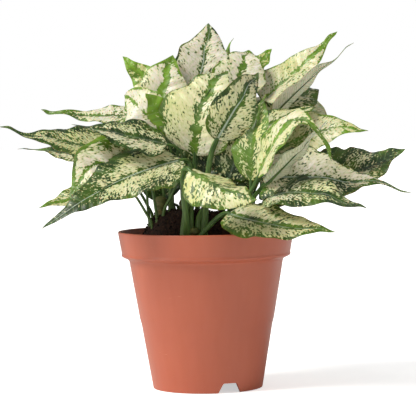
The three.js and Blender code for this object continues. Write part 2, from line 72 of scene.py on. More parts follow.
cane_nodes = sorted(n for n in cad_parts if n.startswith("cane_"))
print("leaves", len(leaf_nodes), "canes", len(cane_nodes))

# %% [markdown]
# ## The studio
# The plant stands on a plain pale floor in front of a pale wall of light. The camera stands
# 1.73 m away, a little above the middle of the leaves, with a long lens, so the rim of the pot
# is a nearly flat line. It is rolled by less than a degree, as a hand-levelled tripod is.

# %% Camera
def along_axes(position, aim, roll):
    """A camera's matrix from where it stands, where it looks and its roll in degrees."""
    forward = (aim - position).normalized()
    right0 = forward.cross(Vector((0, 0, 1))).normalized()
    up0 = right0.cross(forward)
    c, s = math.cos(math.radians(roll)), math.sin(math.radians(roll))
    right, up = right0 * c - up0 * s, up0 * c + right0 * s
    turn = Matrix((right, up, -forward)).transposed().to_4x4()
    return Matrix.Translation(position) @ turn


STAND, LOOK_AT = Vector((0.0022, -1.730, 0.234)), Vector((0.0022, 0, 0.1529))
ROLL, LENS, SENSOR = 0.85, 175.7, 36  # degrees, mm, mm
camera_data = bpy.data.cameras.new("camera")
camera = bpy.data.objects.new("camera", camera_data)
bpy.context.scene.collection.objects.link(camera)
camera.matrix_world = along_axes(STAND, LOOK_AT, ROLL)
camera_data.sensor_width, camera_data.lens = SENSOR, LENS
camera_data.clip_start, camera_data.clip_end = 0.05, 100
bpy.context.scene.camera = camera
print("camera at", tuple(round(x, 3) for x in camera.location))

# %% [markdown]
# Colours are chosen as sRGB hex values, as on a screen, and turned into the linear values that
# light adds up in. One small function adds a node to a material with its settings and links, and
# two more use it for what comes up most: mixing two colours, and mapping one range to another.

# %% Colour and node helpers
def linear(hex_colour):
    """An sRGB hex colour as linear red, green, blue and full alpha."""
    values = [int(hex_colour[i:i + 2], 16) / 255 for i in (1, 3, 5)]
    return tuple(v / 12.92 if v <= 0.04045 else ((v + 0.055) / 1.055) ** 2.4 for v in values) + (1,)


def add(tree, kind, inputs=None, **settings):
    """Adds a node. An input is given a socket to link or a value to hold."""
    node = tree.nodes.new(kind)
    for name, value in settings.items():
        setattr(node, name, value)
    for key, value in (inputs or {}).items():
        if isinstance(value, bpy.types.NodeSocket):
            tree.links.new(value, node.inputs[key])
        else:
            node.inputs[key].default_value = value
    return node


def mixed(tree, share, first, second):
    """A node that mixes two colours, each a hex string or a socket, by a share from 0 to 1."""
    first, second = (linear(c) if isinstance(c, str) else c for c in (first, second))
    return add(tree, "ShaderNodeMix", {0: share, 6: first, 7: second}, data_type="RGBA")


def ramp(tree, value, low, high, first=0.0, last=1.0):
    """A node that goes from first to last as the value goes from low to high, and stays there."""
    return add(tree, "ShaderNodeMapRange", {0: value, 1: low, 2: high, 3: first, 4: last})


def new_material(name, **values):
    """A material with a Principled shader and its uniform values."""
    made = bpy.data.materials.new(name)
    made.use_nodes = True
    shader = made.node_tree.nodes["Principled BSDF"]
    for key, value in values.items():
        shader.inputs[key.replace("_", " ")].default_value = value
    return made, made.node_tree, shader


# %% Lights, floor and sky
def soft_light(name, position, aim, size, watts, colour):
    data = bpy.data.lights.new(name, "AREA")
    data.shape, data.size, data.energy = "DISK", size, watts
    data.color = linear(colour)[:3]
    lamp = bpy.data.objects.new(name, data)
    bpy.context.scene.collection.objects.link(lamp)
    lamp.location = position
    lamp.rotation_euler = (Vector(aim) - Vector(position)).to_track_quat("-Z", "Y").to_euler()
    return lamp


def far_light(name, comes_from, strength, spread, colour):
    """A far lamp: the same strength everywhere, with soft shadows from its spread in degrees."""
    data = bpy.data.lights.new(name, "SUN")
    data.energy, data.angle, data.color = strength, math.radians(spread), linear(colour)[:3]
    lamp = bpy.data.objects.new(name, data)
    bpy.context.scene.collection.objects.link(lamp)
    lamp.rotation_euler = Vector(comes_from).to_track_quat("Z", "Y").to_euler()
    return lamp


far_light("key_light", (-1.2, -0.52, 1.3), 2.85, 24, "#FFFCF6")
soft_light("left_box", (-1.5, -0.7, 0.5), (0, 0, 0.12), 0.9, 5, "#FFFFFF")
soft_light("fill_light", (1.9, -1.5, 0.8), (0, 0, 0.16), 1.4, 6, "#F8FAFF")

world = bpy.data.worlds.new("studio")
bpy.context.scene.world = world
world.use_nodes = True
sky = world.node_tree
sky.nodes.clear()
path = add(sky, "ShaderNodeLightPath")
room = add(sky, "ShaderNodeBackground", {"Color": linear("#FFFFFF"), "Strength": 0.36})
wall = add(sky, "ShaderNodeBackground", {"Color": linear("#FFFFFF"), "Strength": 1.0})
either = add(sky, "ShaderNodeMixShader",
             {0: path.outputs["Is Camera Ray"], 1: room.outputs[0], 2: wall.outputs[0]})
add(sky, "ShaderNodeOutputWorld", {"Surface": either.outputs[0]})

floor_mesh = bpy.data.meshes.new("floor")
HALF = 12.0  # half the width of the floor, in metres
corners = [(x * HALF, y * HALF, 0) for x, y in ((-1, -1), (1, -1), (1, 1), (-1, 1))]
floor_mesh.from_pydata(corners, [], [(0, 1, 2, 3)])
floor = bpy.data.objects.new("floor", floor_mesh)
floor.location.z = -0.0002
bpy.context.scene.collection.objects.link(floor)
paper, paper_tree, paper_shader = new_material("matt_white_paper", Roughness=0.9)
grain = add(paper_tree, "ShaderNodeTexNoise", {"Scale": 900.0, "Detail": 2.0})
tint = mixed(paper_tree, grain.outputs[0], "#F8F8F8", "#FFFFFF")
paper_tree.links.new(tint.outputs[2], paper_shader.inputs["Base Color"])
# The paper is lit from below as well, as a product table is, but only for the eye.
seen = add(paper_tree, "ShaderNodeLightPath")
glow = add(paper_tree, "ShaderNodeEmission", {"Color": linear("#FFFFFF"), "Strength": 0.55})
lit = add(paper_tree, "ShaderNodeAddShader", {0: paper_shader.outputs[0], 1: glow.outputs[0]})
shown = add(paper_tree, "ShaderNodeMixShader",
            {0: seen.outputs["Is Camera Ray"], 1: paper_shader.outputs[0], 2: lit.outputs[0]})
paper_tree.links.new(shown.outputs[0], paper_tree.nodes["Material Output"].inputs["Surface"])
floor.data.materials.append(paper)
floor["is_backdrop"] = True
bpy.context.scene.view_settings.view_transform = "Standard"
print("floor", 2 * HALF, "m wide")

# %% [markdown]
# ## The pot
# A nursery pot is injection-moulded in one piece: a thin tapered wall, a collar that stacks on
# the next pot, a raised floor with drainage holes, and notches in the foot ring. Every section
# is the same all round, so its outline is turned round the axis, with each corner rounded by a
# small radius as the mould has. The notches and holes are cut afterwards.

# %% Pot outline
POT_HEIGHT, RIM_RADIUS, FOOT_RADIUS, WALL = 134.0, 75.0, 46.7, 1.7
COLLAR_HEIGHT, COLLAR_TAPER, COLLAR_STEP = 20.5, 2.8, 6.2
STEP_HEIGHT, STEP_DEPTH, FLOOR_RAISE = 57.0, 0.7, 9.0
collar_foot = POT_HEIGHT - COLLAR_HEIGHT
body_top = collar_foot - 3.5
body_top_radius = RIM_RADIUS - COLLAR_TAPER - COLLAR_STEP - 0.2
slope = (body_top_radius - STEP_DEPTH - FOOT_RADIUS) / body_top


def body_radius(z):
    return FOOT_RADIUS + slope * z + (STEP_DEPTH if z > STEP_HEIGHT else 0)


def inner_radius(z):
    return body_radius(z) - WALL


def rounded(corners, steps=4):
    """Points of an outline: each corner is (radius, height, rounding), in mm."""
    points = []
    for i, (r, z, rounding) in enumerate(corners):
        here = Vector((r, z))
        if rounding == 0 or i in (0, len(corners) - 1):
            points.append(here)
            continue
        before, after = Vector(corners[i - 1][:2]), Vector(corners[i + 1][:2])
        cut = min(rounding, 0.45 * (before - here).length, 0.45 * (after - here).length)
        a = here + (before - here).normalized() * cut
        b = here + (after - here).normalized() * cut
        for k in range(steps + 1):
            s = k / steps
            points.append(a * (1 - s) ** 2 + here * 2 * s * (1 - s) + b * s * s)
    return points


outline = rounded([
    (0, FLOOR_RAISE, 0),
    (inner_radius(0) - 1, FLOOR_RAISE, 0.6),
    (inner_radius(0), FLOOR_RAISE - 1, 0.6),
    (inner_radius(0), 0.0, 0.3),
    (FOOT_RADIUS, 0.0, 0.4),
    (body_radius(STEP_HEIGHT - 2), STEP_HEIGHT - 2.5, 6.0),
    (body_radius(STEP_HEIGHT + 2), STEP_HEIGHT + 2.5, 6.0),
    (body_radius(body_top), body_top, 2.2),
    (RIM_RADIUS - COLLAR_TAPER - 1.2, collar_foot - 1.3, 0.8),
    (RIM_RADIUS - COLLAR_TAPER, collar_foot - 0.1, 0.8),
    (RIM_RADIUS - COLLAR_TAPER - 0.35, collar_foot + 1.7, 0.8),
    (RIM_RADIUS - 0.05, POT_HEIGHT - 0.9, 0.5),
    (RIM_RADIUS - 0.4, POT_HEIGHT, 0.5),
    (RIM_RADIUS - WALL, POT_HEIGHT, 0.4),
    (RIM_RADIUS - WALL - 0.3, POT_HEIGHT - 0.8, 0.5),
    (RIM_RADIUS - COLLAR_TAPER - WALL, collar_foot + 2.2, 1.5),
    (inner_radius(body_top), body_top + 1.6, 1.5),
    (inner_radius(STEP_HEIGHT + 1), STEP_HEIGHT + 1, 0.5),
    (inner_radius(STEP_HEIGHT - 1), STEP_HEIGHT - 1, 0.5),
    (inner_radius(FLOOR_RAISE + WALL), FLOOR_RAISE + WALL, 1.2),
    (0, FLOOR_RAISE + WALL, 0),
])
print("outline points", len(outline))


# %% Turning an outline round the axis
def new_piece(name, points, faces, scale=MM):
    mesh = bpy.data.meshes.new(name)
    mesh.from_pydata([tuple(c * scale for c in p) for p in points], [], faces)
    mesh.validate()
    piece = bpy.data.objects.new(name, mesh)
    bpy.context.scene.collection.objects.link(piece)
    return piece


def face_out(piece, sharp_above=35):
    """Points every face outwards, smooths the shading and keeps true edges crisp."""
    made = bmesh.new()
    made.from_mesh(piece.data)
    bmesh.ops.recalc_face_normals(made, faces=made.faces)
    for face in made.faces:
        face.smooth = True
    for edge in made.edges:
        if edge.is_manifold and edge.calc_face_angle() > math.radians(sharp_above):
            edge.smooth = False
    made.to_mesh(piece.data)
    made.free()


def turned(name, profile, sides, centre=(0, 0)):
    """A closed solid of revolution: profile runs from axis to axis, as (radius, height) in mm."""
    points, faces, rows = [], [], []
    for r, z in profile:
        if r < 1e-6:
            rows.append([len(points)] * sides)
            points.append((centre[0], centre[1], z))
            continue
        rows.append(list(range(len(points), len(points) + sides)))
        for k in range(sides):
            turn = 2 * math.pi * k / sides
            points.append((centre[0] + r * math.cos(turn), centre[1] + r * math.sin(turn), z))
    for low, high in zip(rows, rows[1:]):
        for k in range(sides):
            ring = [low[k], low[(k + 1) % sides], high[(k + 1) % sides], high[k]]
            face = list(dict.fromkeys(ring))
            if len(face) > 2:
                faces.append(face)
    return new_piece(name, points, faces)


pot = turned("pot_moulded", [(p.x, p.y) for p in outline], 192)
print("pot faces", len(pot.data.polygons))

# %% Drainage notches and holes
NOTCH_FOOT, NOTCH_TOP, NOTCH_HEIGHT, NOTCH_HEADING = 20.0, 12.0, 8.2, -67.0
DRAIN_RADIUS, DRAIN_CIRCLE = 4.0, 30.0
NOTCHES, DRAINS = 3, 6


def cut_away(piece, cutter):
    """Takes the cutter's shape out of the piece for good."""
    face_out(cutter)
    step = piece.modifiers.new("cut", "BOOLEAN")
    step.operation, step.object, step.solver = "DIFFERENCE", cutter, "EXACT"
    graph = bpy.context.evaluated_depsgraph_get()
    result = bpy.data.meshes.new_from_object(piece.evaluated_get(graph))
    piece.modifiers.clear()
    piece.data = result
    bpy.data.objects.remove(cutter)


face_out(pot)
foot, top, corner = NOTCH_FOOT / 2, NOTCH_TOP / 2, 0.6
side_view = [(-foot, -2), (foot, -2), (foot, 0),
             (top + corner, NOTCH_HEIGHT - 0.9), (top - corner, NOTCH_HEIGHT),
             (-top + corner, NOTCH_HEIGHT), (-top - corner, NOTCH_HEIGHT - 0.9), (-foot, 0)]
for i in range(NOTCHES):
    turn = Matrix.Rotation(math.radians(NOTCH_HEADING + 360 / NOTCHES * i), 4, "Z")
    corners = [turn @ Vector((r, y, z)) for r in (FOOT_RADIUS - 7, FOOT_RADIUS + 5) for y, z in side_view]
    n = len(side_view)
    sides = [[k, (k + 1) % n, n + (k + 1) % n, n + k] for k in range(n)]
    cut_away(pot, new_piece("notch", corners, sides + [list(range(n))[::-1], list(range(n, 2 * n))]))
below, above = FLOOR_RAISE - 3, FLOOR_RAISE + 5
drain = [(0, below), (DRAIN_RADIUS, below), (DRAIN_RADIUS, above), (0, above)]
for i in range(DRAINS):
    heading = math.radians(360 / DRAINS * (i + 0.5))
    spot = (DRAIN_CIRCLE * math.cos(heading), DRAIN_CIRCLE * math.sin(heading))
    cut_away(pot, turned("drain", drain, 32, spot))
face_out(pot)
print("pot faces after cutting", len(pot.data.polygons))

# %% [markdown]
# The pot is polypropylene, coloured terracotta all through and injection-moulded against a
# lightly polished steel mould. That gives an even satin surface with a broad soft highlight,
# faint vertical flow marks, a few moulding pits on the collar and light scuffs from stacking.

# %% Moulded polypropylene
plastic, tree, shader = new_material(
    "moulded_polypropylene", IOR=1.49, Roughness=0.42, Subsurface_Weight=0.06, Subsurface_Scale=0.002
)
place = add(tree, "ShaderNodeTexCoord")
# Pigment is a little uneven over 30 to 50 mm.
cloud = add(tree, "ShaderNodeTexNoise", {"Vector": place.outputs["Object"], "Scale": 26.0, "Detail": 3.0})
pigment = mixed(tree, cloud.outputs[0], "#AC5840", "#B86347")
# Flow marks run up the wall, about 6 mm apart and long.
stretch = add(tree, "ShaderNodeMapping", {"Vector": place.outputs["Object"], "Scale": (170.0, 170.0, 9.0)})
flow = add(tree, "ShaderNodeTexNoise", {"Vector": stretch.outputs[0], "Scale": 1.0, "Detail": 2.0})
flowed = ramp(tree, flow.outputs[0], 0.35, 0.7, 0.0, 0.16)
streaked = mixed(tree, flowed.outputs[0], pigment.outputs[2], "#A8512F")
# Scuffs are pale short strokes where stacked pots rub.
rub_place = add(tree, "ShaderNodeMapping",
                {"Vector": place.outputs["Object"],
                 "Scale": (60.0, 60.0, 420.0), "Rotation": (0.1, 0.2, 0)})
rub = add(tree, "ShaderNodeTexNoise", {"Vector": rub_place.outputs[0], "Scale": 1.0, "Detail": 3.0})
rubbed = ramp(tree, rub.outputs[0], 0.74, 0.80, 0.0, 0.3)
scuffed = mixed(tree, rubbed.outputs[0], streaked.outputs[2], "#D89A7C")
tree.links.new(scuffed.outputs[2], shader.inputs["Base Color"])
dull = ramp(tree, cloud.outputs[0], 0.3, 0.7, 0.36, 0.5)
tree.links.new(dull.outputs[0], shader.inputs["Roughness"])
# Pits under a millimetre wide, and the fine texture of the mould.
pits = add(tree, "ShaderNodeTexVoronoi",
           {"Vector": place.outputs["Object"], "Scale": 95.0, "Randomness": 1.0})
pitted = ramp(tree, pits.outputs["Distance"], 0.02, 0.09, 0.0, 1.0)
skin = add(tree, "ShaderNodeTexNoise", {"Vector": place.outputs["Object"], "Scale": 1400.0, "Detail": 2.0})
ripple = add(tree, "ShaderNodeMath",
             {0: skin.outputs[0], 1: 0.25, 2: pitted.outputs[0]}, operation="MULTIPLY_ADD")
wavy = add(tree, "ShaderNodeMath",
           {0: flow.outputs[0], 1: 1.2, 2: ripple.outputs[0]}, operation="MULTIPLY_ADD")
relief = add(tree, "ShaderNodeBump", {"Strength": 0.35, "Distance": 0.0002, "Height": wavy.outputs[0]})
tree.links.new(relief.outputs[0], shader.inputs["Normal"])
pot.data.materials.clear()
pot.data.materials.append(plastic)
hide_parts("pot")
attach(pot, "root")

# %% [markdown]
# ## The potting mix
# Potting mix is dark peat with bits of bark. The CAD mound gives the lie of the land. A finer
# surface is dropped onto it by casting rays down, roughened by two sizes of noise, and
# scattered with crumbs, which a bump alone could not show at the edge of the mound.

# %% Surface of the mix
mix_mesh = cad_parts["potting_mix"].data
mix_tree = BVHTree.FromPolygons([v.co for v in mix_mesh.vertices], [p.vertices for p in mix_mesh.polygons])
MIX_RADIUS, MIX_SIDES, MIX_RINGS = 69.8, 150, 60
MIX_FOOT = FLOOR_RAISE + WALL + 0.3


def ground(tree_of, x, y):
    """The height of a surface at x, y, all in mm, or None outside it."""
    hit = tree_of.ray_cast(Vector((x * MM, y * MM, 0.2)), Vector((0, 0, -1)))
    return hit[0].z / MM if hit[0] else None


def crumble(x, y):
    coarse = noise.noise(Vector((x / 7, y / 7, 3.1)))
    fine = noise.noise(Vector((x / 2.4, y / 2.4, 8.7)))
    return 1.5 * coarse + 0.9 * fine


points, faces = [(0, 0, ground(mix_tree, 0, 0))], []
for j in range(1, MIX_RINGS + 1):
    r = MIX_RADIUS * j / MIX_RINGS
    for k in range(MIX_SIDES):
        turn = 2 * math.pi * k / MIX_SIDES
        x, y = r * math.cos(turn), r * math.sin(turn)
        # The solid has fewer sides, so at its edge the height is read a little further in.
        z = (ground(mix_tree, x, y) or ground(mix_tree, x * 0.985, y * 0.985)
             or ground(mix_tree, x * 0.97, y * 0.97))
        points.append((x, y, z + (crumble(x, y) if j < MIX_RINGS else 0) - 0.4))
for r, z in ((MIX_RADIUS, collar_foot + 3), (inner_radius(body_top) - 0.4, body_top + 1.5),
             (inner_radius(FLOOR_RAISE + WALL) - 0.6, MIX_FOOT)):
    for k in range(MIX_SIDES):
        turn = 2 * math.pi * k / MIX_SIDES
        points.append((r * math.cos(turn), r * math.sin(turn), z))
points.append((0, 0, MIX_FOOT))
rows = MIX_RINGS + 3
for k in range(MIX_SIDES):
    faces.append((0, 1 + k, 1 + (k + 1) % MIX_SIDES))
    for j in range(rows - 1):
        a, b = 1 + j * MIX_SIDES + k, 1 + j * MIX_SIDES + (k + 1) % MIX_SIDES
        faces.append((a, a + MIX_SIDES, b + MIX_SIDES, b))
    last = 1 + (rows - 1) * MIX_SIDES
    faces.append((len(points) - 1, last + (k + 1) % MIX_SIDES, last + k))
mix = new_piece("potting_mix_surface", points, faces)
face_out(mix, 60)
print("mix points", len(points))

# %% Crumbs and bark
CRUMBS = 1500
rng = random.Random(11)
crumb_points, crumb_faces = [], []
seed_ball = bmesh.new()
bmesh.ops.create_icosphere(seed_ball, subdivisions=1, radius=1.0)
ball = [v.co.copy() for v in seed_ball.verts]
ball_faces = [[v.index for v in f.verts] for f in seed_ball.faces]
seed_ball.free()
mix_top = BVHTree.FromPolygons([v.co for v in mix.data.vertices], [p.vertices for p in mix.data.polygons])
for _ in range(CRUMBS):
    turn, r = rng.uniform(0, 2 * math.pi), (MIX_RADIUS - 2.5) * math.sqrt(rng.random())
    x, y = r * math.cos(turn), r * math.sin(turn)
    size = 0.55 + 1.3 * rng.random() ** 3
    long = rng.choice((1.0, 1.2, 2.2)) if rng.random() < 0.4 else 1.0
    lie = Matrix.Rotation(rng.uniform(0, 6.28), 3, "Z") @ Matrix.Rotation(rng.uniform(-0.6, 0.6), 3, "X")
    first, centre = len(crumb_points), Vector((x, y, ground(mix_top, x, y) + 0.25 * size))
    for p in ball:
        q = Vector((p.x * long, p.y, p.z * 0.7)) * size * rng.uniform(0.72, 1.12)
        crumb_points.append(centre + lie @ q)
    crumb_faces += [[first + i for i in f] for f in ball_faces]
crumbs = new_piece("potting_mix_crumbs", crumb_points, crumb_faces)
face_out(crumbs, 20)
print("crumb faces", len(crumb_faces))

# %% [markdown]
# The mix is damp peat and composted bark. It is nearly black and fully matt, with warmer brown
# fibres, so its colour varies from crumb to crumb and it takes almost no highlight.

# %% Damp peat
peat, tree, shader = new_material("damp_peat", IOR=1.35, Roughness=0.92)
place = add(tree, "ShaderNodeTexCoord")
lumps = add(tree, "ShaderNodeTexNoise",
            {"Vector": place.outputs["Object"], "Scale": 420.0, "Detail": 4.0, "Roughness": 0.65})
dark = ramp(tree, lumps.outputs[0], 0.38, 0.68)
brown = mixed(tree, dark.outputs[0], "#160D0A", "#3B2419")
fibre_place = add(tree, "ShaderNodeMapping",
                  {"Vector": place.outputs["Object"],
                   "Scale": (900.0, 260.0, 500.0), "Rotation": (0, 0, 0.7)})
fibre = add(tree, "ShaderNodeTexNoise", {"Vector": fibre_place.outputs[0], "Scale": 1.0, "Detail": 1.0})
straw = ramp(tree, fibre.outputs[0], 0.68, 0.74, 0.0, 0.6)
fibrous = mixed(tree, straw.outputs[0], brown.outputs[2], "#5E4030")
tree.links.new(fibrous.outputs[2], shader.inputs["Base Color"])
relief = add(tree, "ShaderNodeBump", {"Strength": 0.8, "Distance": 0.0006, "Height": lumps.outputs[0]})
tree.links.new(relief.outputs[0], shader.inputs["Normal"])
for piece in (mix, crumbs):
    piece.data.materials.append(peat)
    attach(piece, "root")
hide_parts("potting_mix")

# %% [markdown]
# ## The canes
# Each shoot rises from a short green cane, ringed by the scars of old leaves and wrapped in
# their dry sheaths. A turned outline with a ring at each scar gives that, and the sheaths are
# paler brown patches in its skin.

# %% Canes
SCAR_SPACING = 4.2


def cane_outline(low, high, radius):
    """The outline of a ringed cane from its foot to its rounded top, in mm."""
    profile, z = [(0, low), (radius * 0.9, low)], low + 1.0
    while z < high - 4.5:
        profile += [(radius * w, z + up) for w, up in ((0.93, 0), (0.9, 1.6), (0.94, 3.2), (1, 3.6))]
        z += SCAR_SPACING
    tip = ((0.9, 3.2), (0.72, 1.4), (0.4, 0.4), (0, 0))
    return profile + [(radius * w, high - down) for w, down in tip]


bark, tree, shader = new_material("young_cane_skin", IOR=1.42, Roughness=0.5)
place = add(tree, "ShaderNodeTexCoord")
mottle = add(tree, "ShaderNodeTexNoise", {"Vector": place.outputs["Object"], "Scale": 160.0, "Detail": 3.0})
green = mixed(tree, mottle.outputs[0], "#3E4E22", "#7C7A44")
rings_place = add(tree, "ShaderNodeMapping",
                  {"Vector": place.outputs["Object"], "Scale": (120.0, 120.0, 700.0)})
dry = add(tree, "ShaderNodeTexNoise", {"Vector": rings_place.outputs[0], "Scale": 1.0, "Detail": 2.0})
husk = ramp(tree, dry.outputs[0], 0.55, 0.68, 0.0, 0.8)
barked = mixed(tree, husk.outputs[0], green.outputs[2], "#8A6F4A")
tree.links.new(barked.outputs[2], shader.inputs["Base Color"])
relief = add(tree, "ShaderNodeBump", {"Strength": 0.5, "Distance": 0.0004, "Height": dry.outputs[0]})
tree.links.new(relief.outputs[0], shader.inputs["Normal"])
for node in cane_nodes:
    low, high = (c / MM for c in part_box(node))
    middle = (low + high) / 2
    profile = cane_outline(low.z, high.z, (high.x - low.x) / 2)
    cane = turned(node + "_ringed", profile, 28, (middle.x, middle.y))
    face_out(cane, 60)
    cane.data.materials.append(bark)
    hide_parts(node)
    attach(cane, "root")
print("canes", len(cane_nodes))

# %% [markdown]
# ## Reading a leaf's plan from its solid
# Each leaf solid is a plain skin over rings of six points: six rings up the stalk, nine along
# the blade, and a point at the tip. Walking out from the tip, one layer of neighbours at a
# time, gives those rings back. Each ring then tells where the midrib is, which way the blade
# faces, how wide it is there and how its halves rise and droop.

# %% Rings of a leaf
BLADE_T = [0.0, 0.04, 0.12, 0.24, 0.38, 0.54, 0.7, 0.84, 0.94]
STALK_RINGS = 6


def layers_from(start, near):
    seen, layer, layers = {start}, [start], []
    while layer:
        layers.append(layer)
        layer = sorted({b for a in layer for b in near[a]} - seen)
        seen.update(layer)
    return layers


def best_match(ring, other):
    """The ring's points turned or flipped so that they follow the other ring's."""
    a, b = np.array(ring), np.array(other)
    a0, b0 = a - a.mean(0), b - b.mean(0)
    ways = [np.roll(v, k, axis=0) for v in (a0, a0[::-1]) for k in range(6)]
    found = [np.roll(v, k, axis=0) for v in (a, a[::-1]) for k in range(6)]
    scores = [float(((w - b0) ** 2).sum()) for w in ways]
    return found[scores.index(min(scores))]


def turn_about(axis, first, spoke):
    """The angle about the axis from the first spoke to another."""
    return math.atan2(float(np.dot(np.cross(first, spoke), axis)), float(np.dot(first, spoke)))


def rings_of(node):
    """A leaf solid's rings from foot to tip, each as six points in mm, and the tip."""
    mesh, key, index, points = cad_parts[node].data, {}, [], []
    for v in mesh.vertices:
        k = tuple(round(c * 1e6) for c in v.co)
        if k not in key:
            key[k] = len(points)
            points.append(np.array(v.co, float) / MM)
        index.append(key[k])
    near = [set() for _ in points]
    for p in mesh.polygons:
        ids = [index[i] for i in p.vertices]
        for a, b in zip(ids, ids[1:] + ids[:1]):
            if a != b:
                near[a].add(b)
                near[b].add(a)
    total = len(BLADE_T) + STALK_RINGS
    for start in range(len(points)):
        layers = layers_from(start, near)
        if [len(x) for x in layers] == [1] + [6] * total:
            break
    else:
        raise ValueError(node + " is not a skin over rings")
    rings = []
    for layer in layers[1:]:
        members = set(layer)
        if layer is layers[-1]:
            centre = sum(points[i] for i in layer) / 6
            first = points[layer[0]] - centre
            axis = np.cross(first, points[layer[1]] - centre)
            axis /= np.linalg.norm(axis)
            order = sorted(layer, key=lambda i: turn_about(axis, first, points[i] - centre))
        else:
            order = [layer[0]]
            while len(order) < 6:
                order.append(next(i for i in sorted(near[order[-1]] & members) if i not in order))
        rings.append(np.array([points[i] for i in order]))
    blade = rings[:len(BLADE_T) - 1]
    spans = [max(float(np.linalg.norm(a - b)) for a in r for b in r) for r in blade]
    widest = spans.index(max(spans))
    ring = rings[widest]
    pairs = [(float(np.linalg.norm(ring[i] - ring[j])), i, j) for i in range(6) for j in range(i)]
    _, i, j = max(pairs)
    ring = np.roll(ring, -i, axis=0)
    j = (j - i) % 6
    # From R the short way round to L passes the one point under the midrib.
    ring = np.roll(ring, 1, axis=0) if j == 4 else np.roll(ring[::-1], 2, axis=0)
    rings[widest] = ring
    for k in range(widest + 1, len(rings)):
        rings[k] = best_match(rings[k], rings[k - 1])
    for k in range(widest - 1, -1, -1):
        rings[k] = best_match(rings[k], rings[k + 1])
    return rings[::-1], points[start]


plans = {node: rings_of(node) for node in leaf_nodes}
print("leaves read", len(plans))

# %% [markdown]
# ## The look of each leaf
# No two leaves are painted alike: some are nearly all cream with a green edge, some dark green
# with a few pale flecks, and the young ones are lime. Each leaf gets its own short row of
# shares, from 0 to 1: how green it is, how wide the green edge and the green band along the
# midrib are, where along the blade the green tip starts, how lime its green and how yellow its
# cream is, how silvery the midrib is, and which side is the darker.

